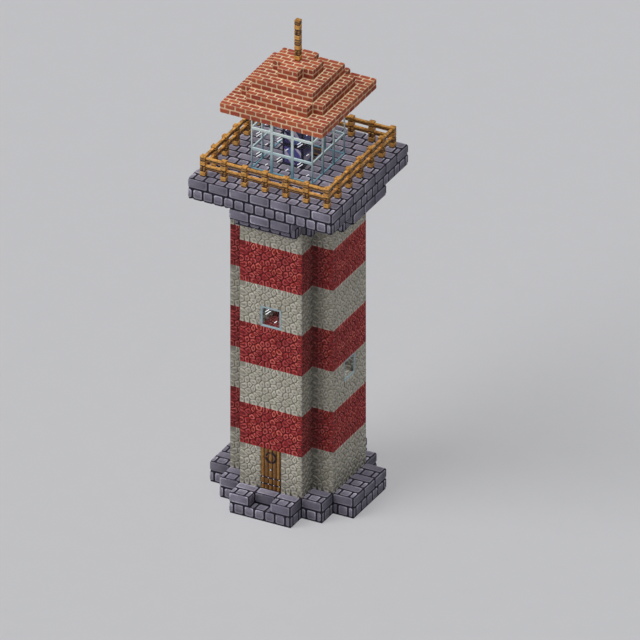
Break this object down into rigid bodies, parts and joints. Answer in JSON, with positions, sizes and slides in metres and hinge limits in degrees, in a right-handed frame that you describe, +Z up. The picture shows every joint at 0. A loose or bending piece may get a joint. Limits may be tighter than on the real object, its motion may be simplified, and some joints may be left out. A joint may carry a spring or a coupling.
{
  "type": "lighthouse",
  "caption": "Square banded masonry lighthouse on a stepped plinth, with a corbelled railed gallery, glazed lantern, stepped brick roof and hinged plank door.",
  "frame": {"origin": "on the ground under the middle of the tower", "axes": "+Z up, the door faces -Y, +X to the right of a person who looks at the door"},
  "size_m": [7, 7, 23],
  "materials": {
    "white_cobble": "white-painted rounded cobbles in grey mortar",
    "red_cobble": "red-painted rounded cobbles in dark mortar",
    "grey_stone": "dressed purple-grey stone blocks with dark joints",
    "roof_brick": "red-brown bricks in cream mortar",
    "dark_stone": "polished dark stone with pale violet veins",
    "railing_timber": "oiled golden-brown timber",
    "ladder_timber": "sawn timber",
    "door_timber": "oiled planks",
    "iron": "dark forged iron",
    "glazing_bar": "pale blue paint",
    "glass": "clear with a faint blue cast"
  },
  "bodies": {
    "tower": {"foundation": "grey_stone", "ground_floor": "grey_stone", "doorstep": "grey_stone", "plinth_front": "grey_stone", "plinth_back": "grey_stone", "plinth_left": "grey_stone", "plinth_right": "grey_stone", "plinth_corners": "grey_stone", "white_band_1_left": "white_cobble", "white_band_1_right": "white_cobble", "red_band_1": "red_cobble", "white_band_2": "white_cobble", "red_band_2": "red_cobble", "white_band_3": "white_cobble", "red_band_3": "red_cobble", "white_band_4": "white_cobble", "corbel_front": "grey_stone", "corbel_back": "grey_stone", "corbel_left": "grey_stone", "corbel_right": "grey_stone", "corbel_corners": "grey_stone", "gallery_floor": "grey_stone", "railing_front": "railing_timber", "railing_back": "railing_timber", "railing_left": "railing_timber", "railing_right": "railing_timber", "lantern_frame_front": "glazing_bar", "lantern_frame_back": "glazing_bar", "lantern_frame_left": "glazing_bar", "lantern_frame_right": "glazing_bar", "lantern_glass": "glass", "lamp_pier": "dark_stone", "roof_course_1": "roof_brick", "roof_course_2": "roof_brick", "roof_course_3": "roof_brick", "roof_course_4": "roof_brick", "finial": "railing_timber", "ladder": "ladder_timber", "window_frames": "glazing_bar", "window_glass": "glass", "door_pintles": "iron"},
    "door": {"door_leaf": "door_timber", "door_bands": "iron", "door_ring_and_knob": "iron", "door_hinge_eyes": "iron"}
  },
  "joints": [
    {"name": "door_swing", "type": "hinge", "parent": "tower", "child": "door", "pos_m": [-0.47, -2.38, 1], "axis": [0, 0, 1], "range_deg": [0, 90]}
  ]
}
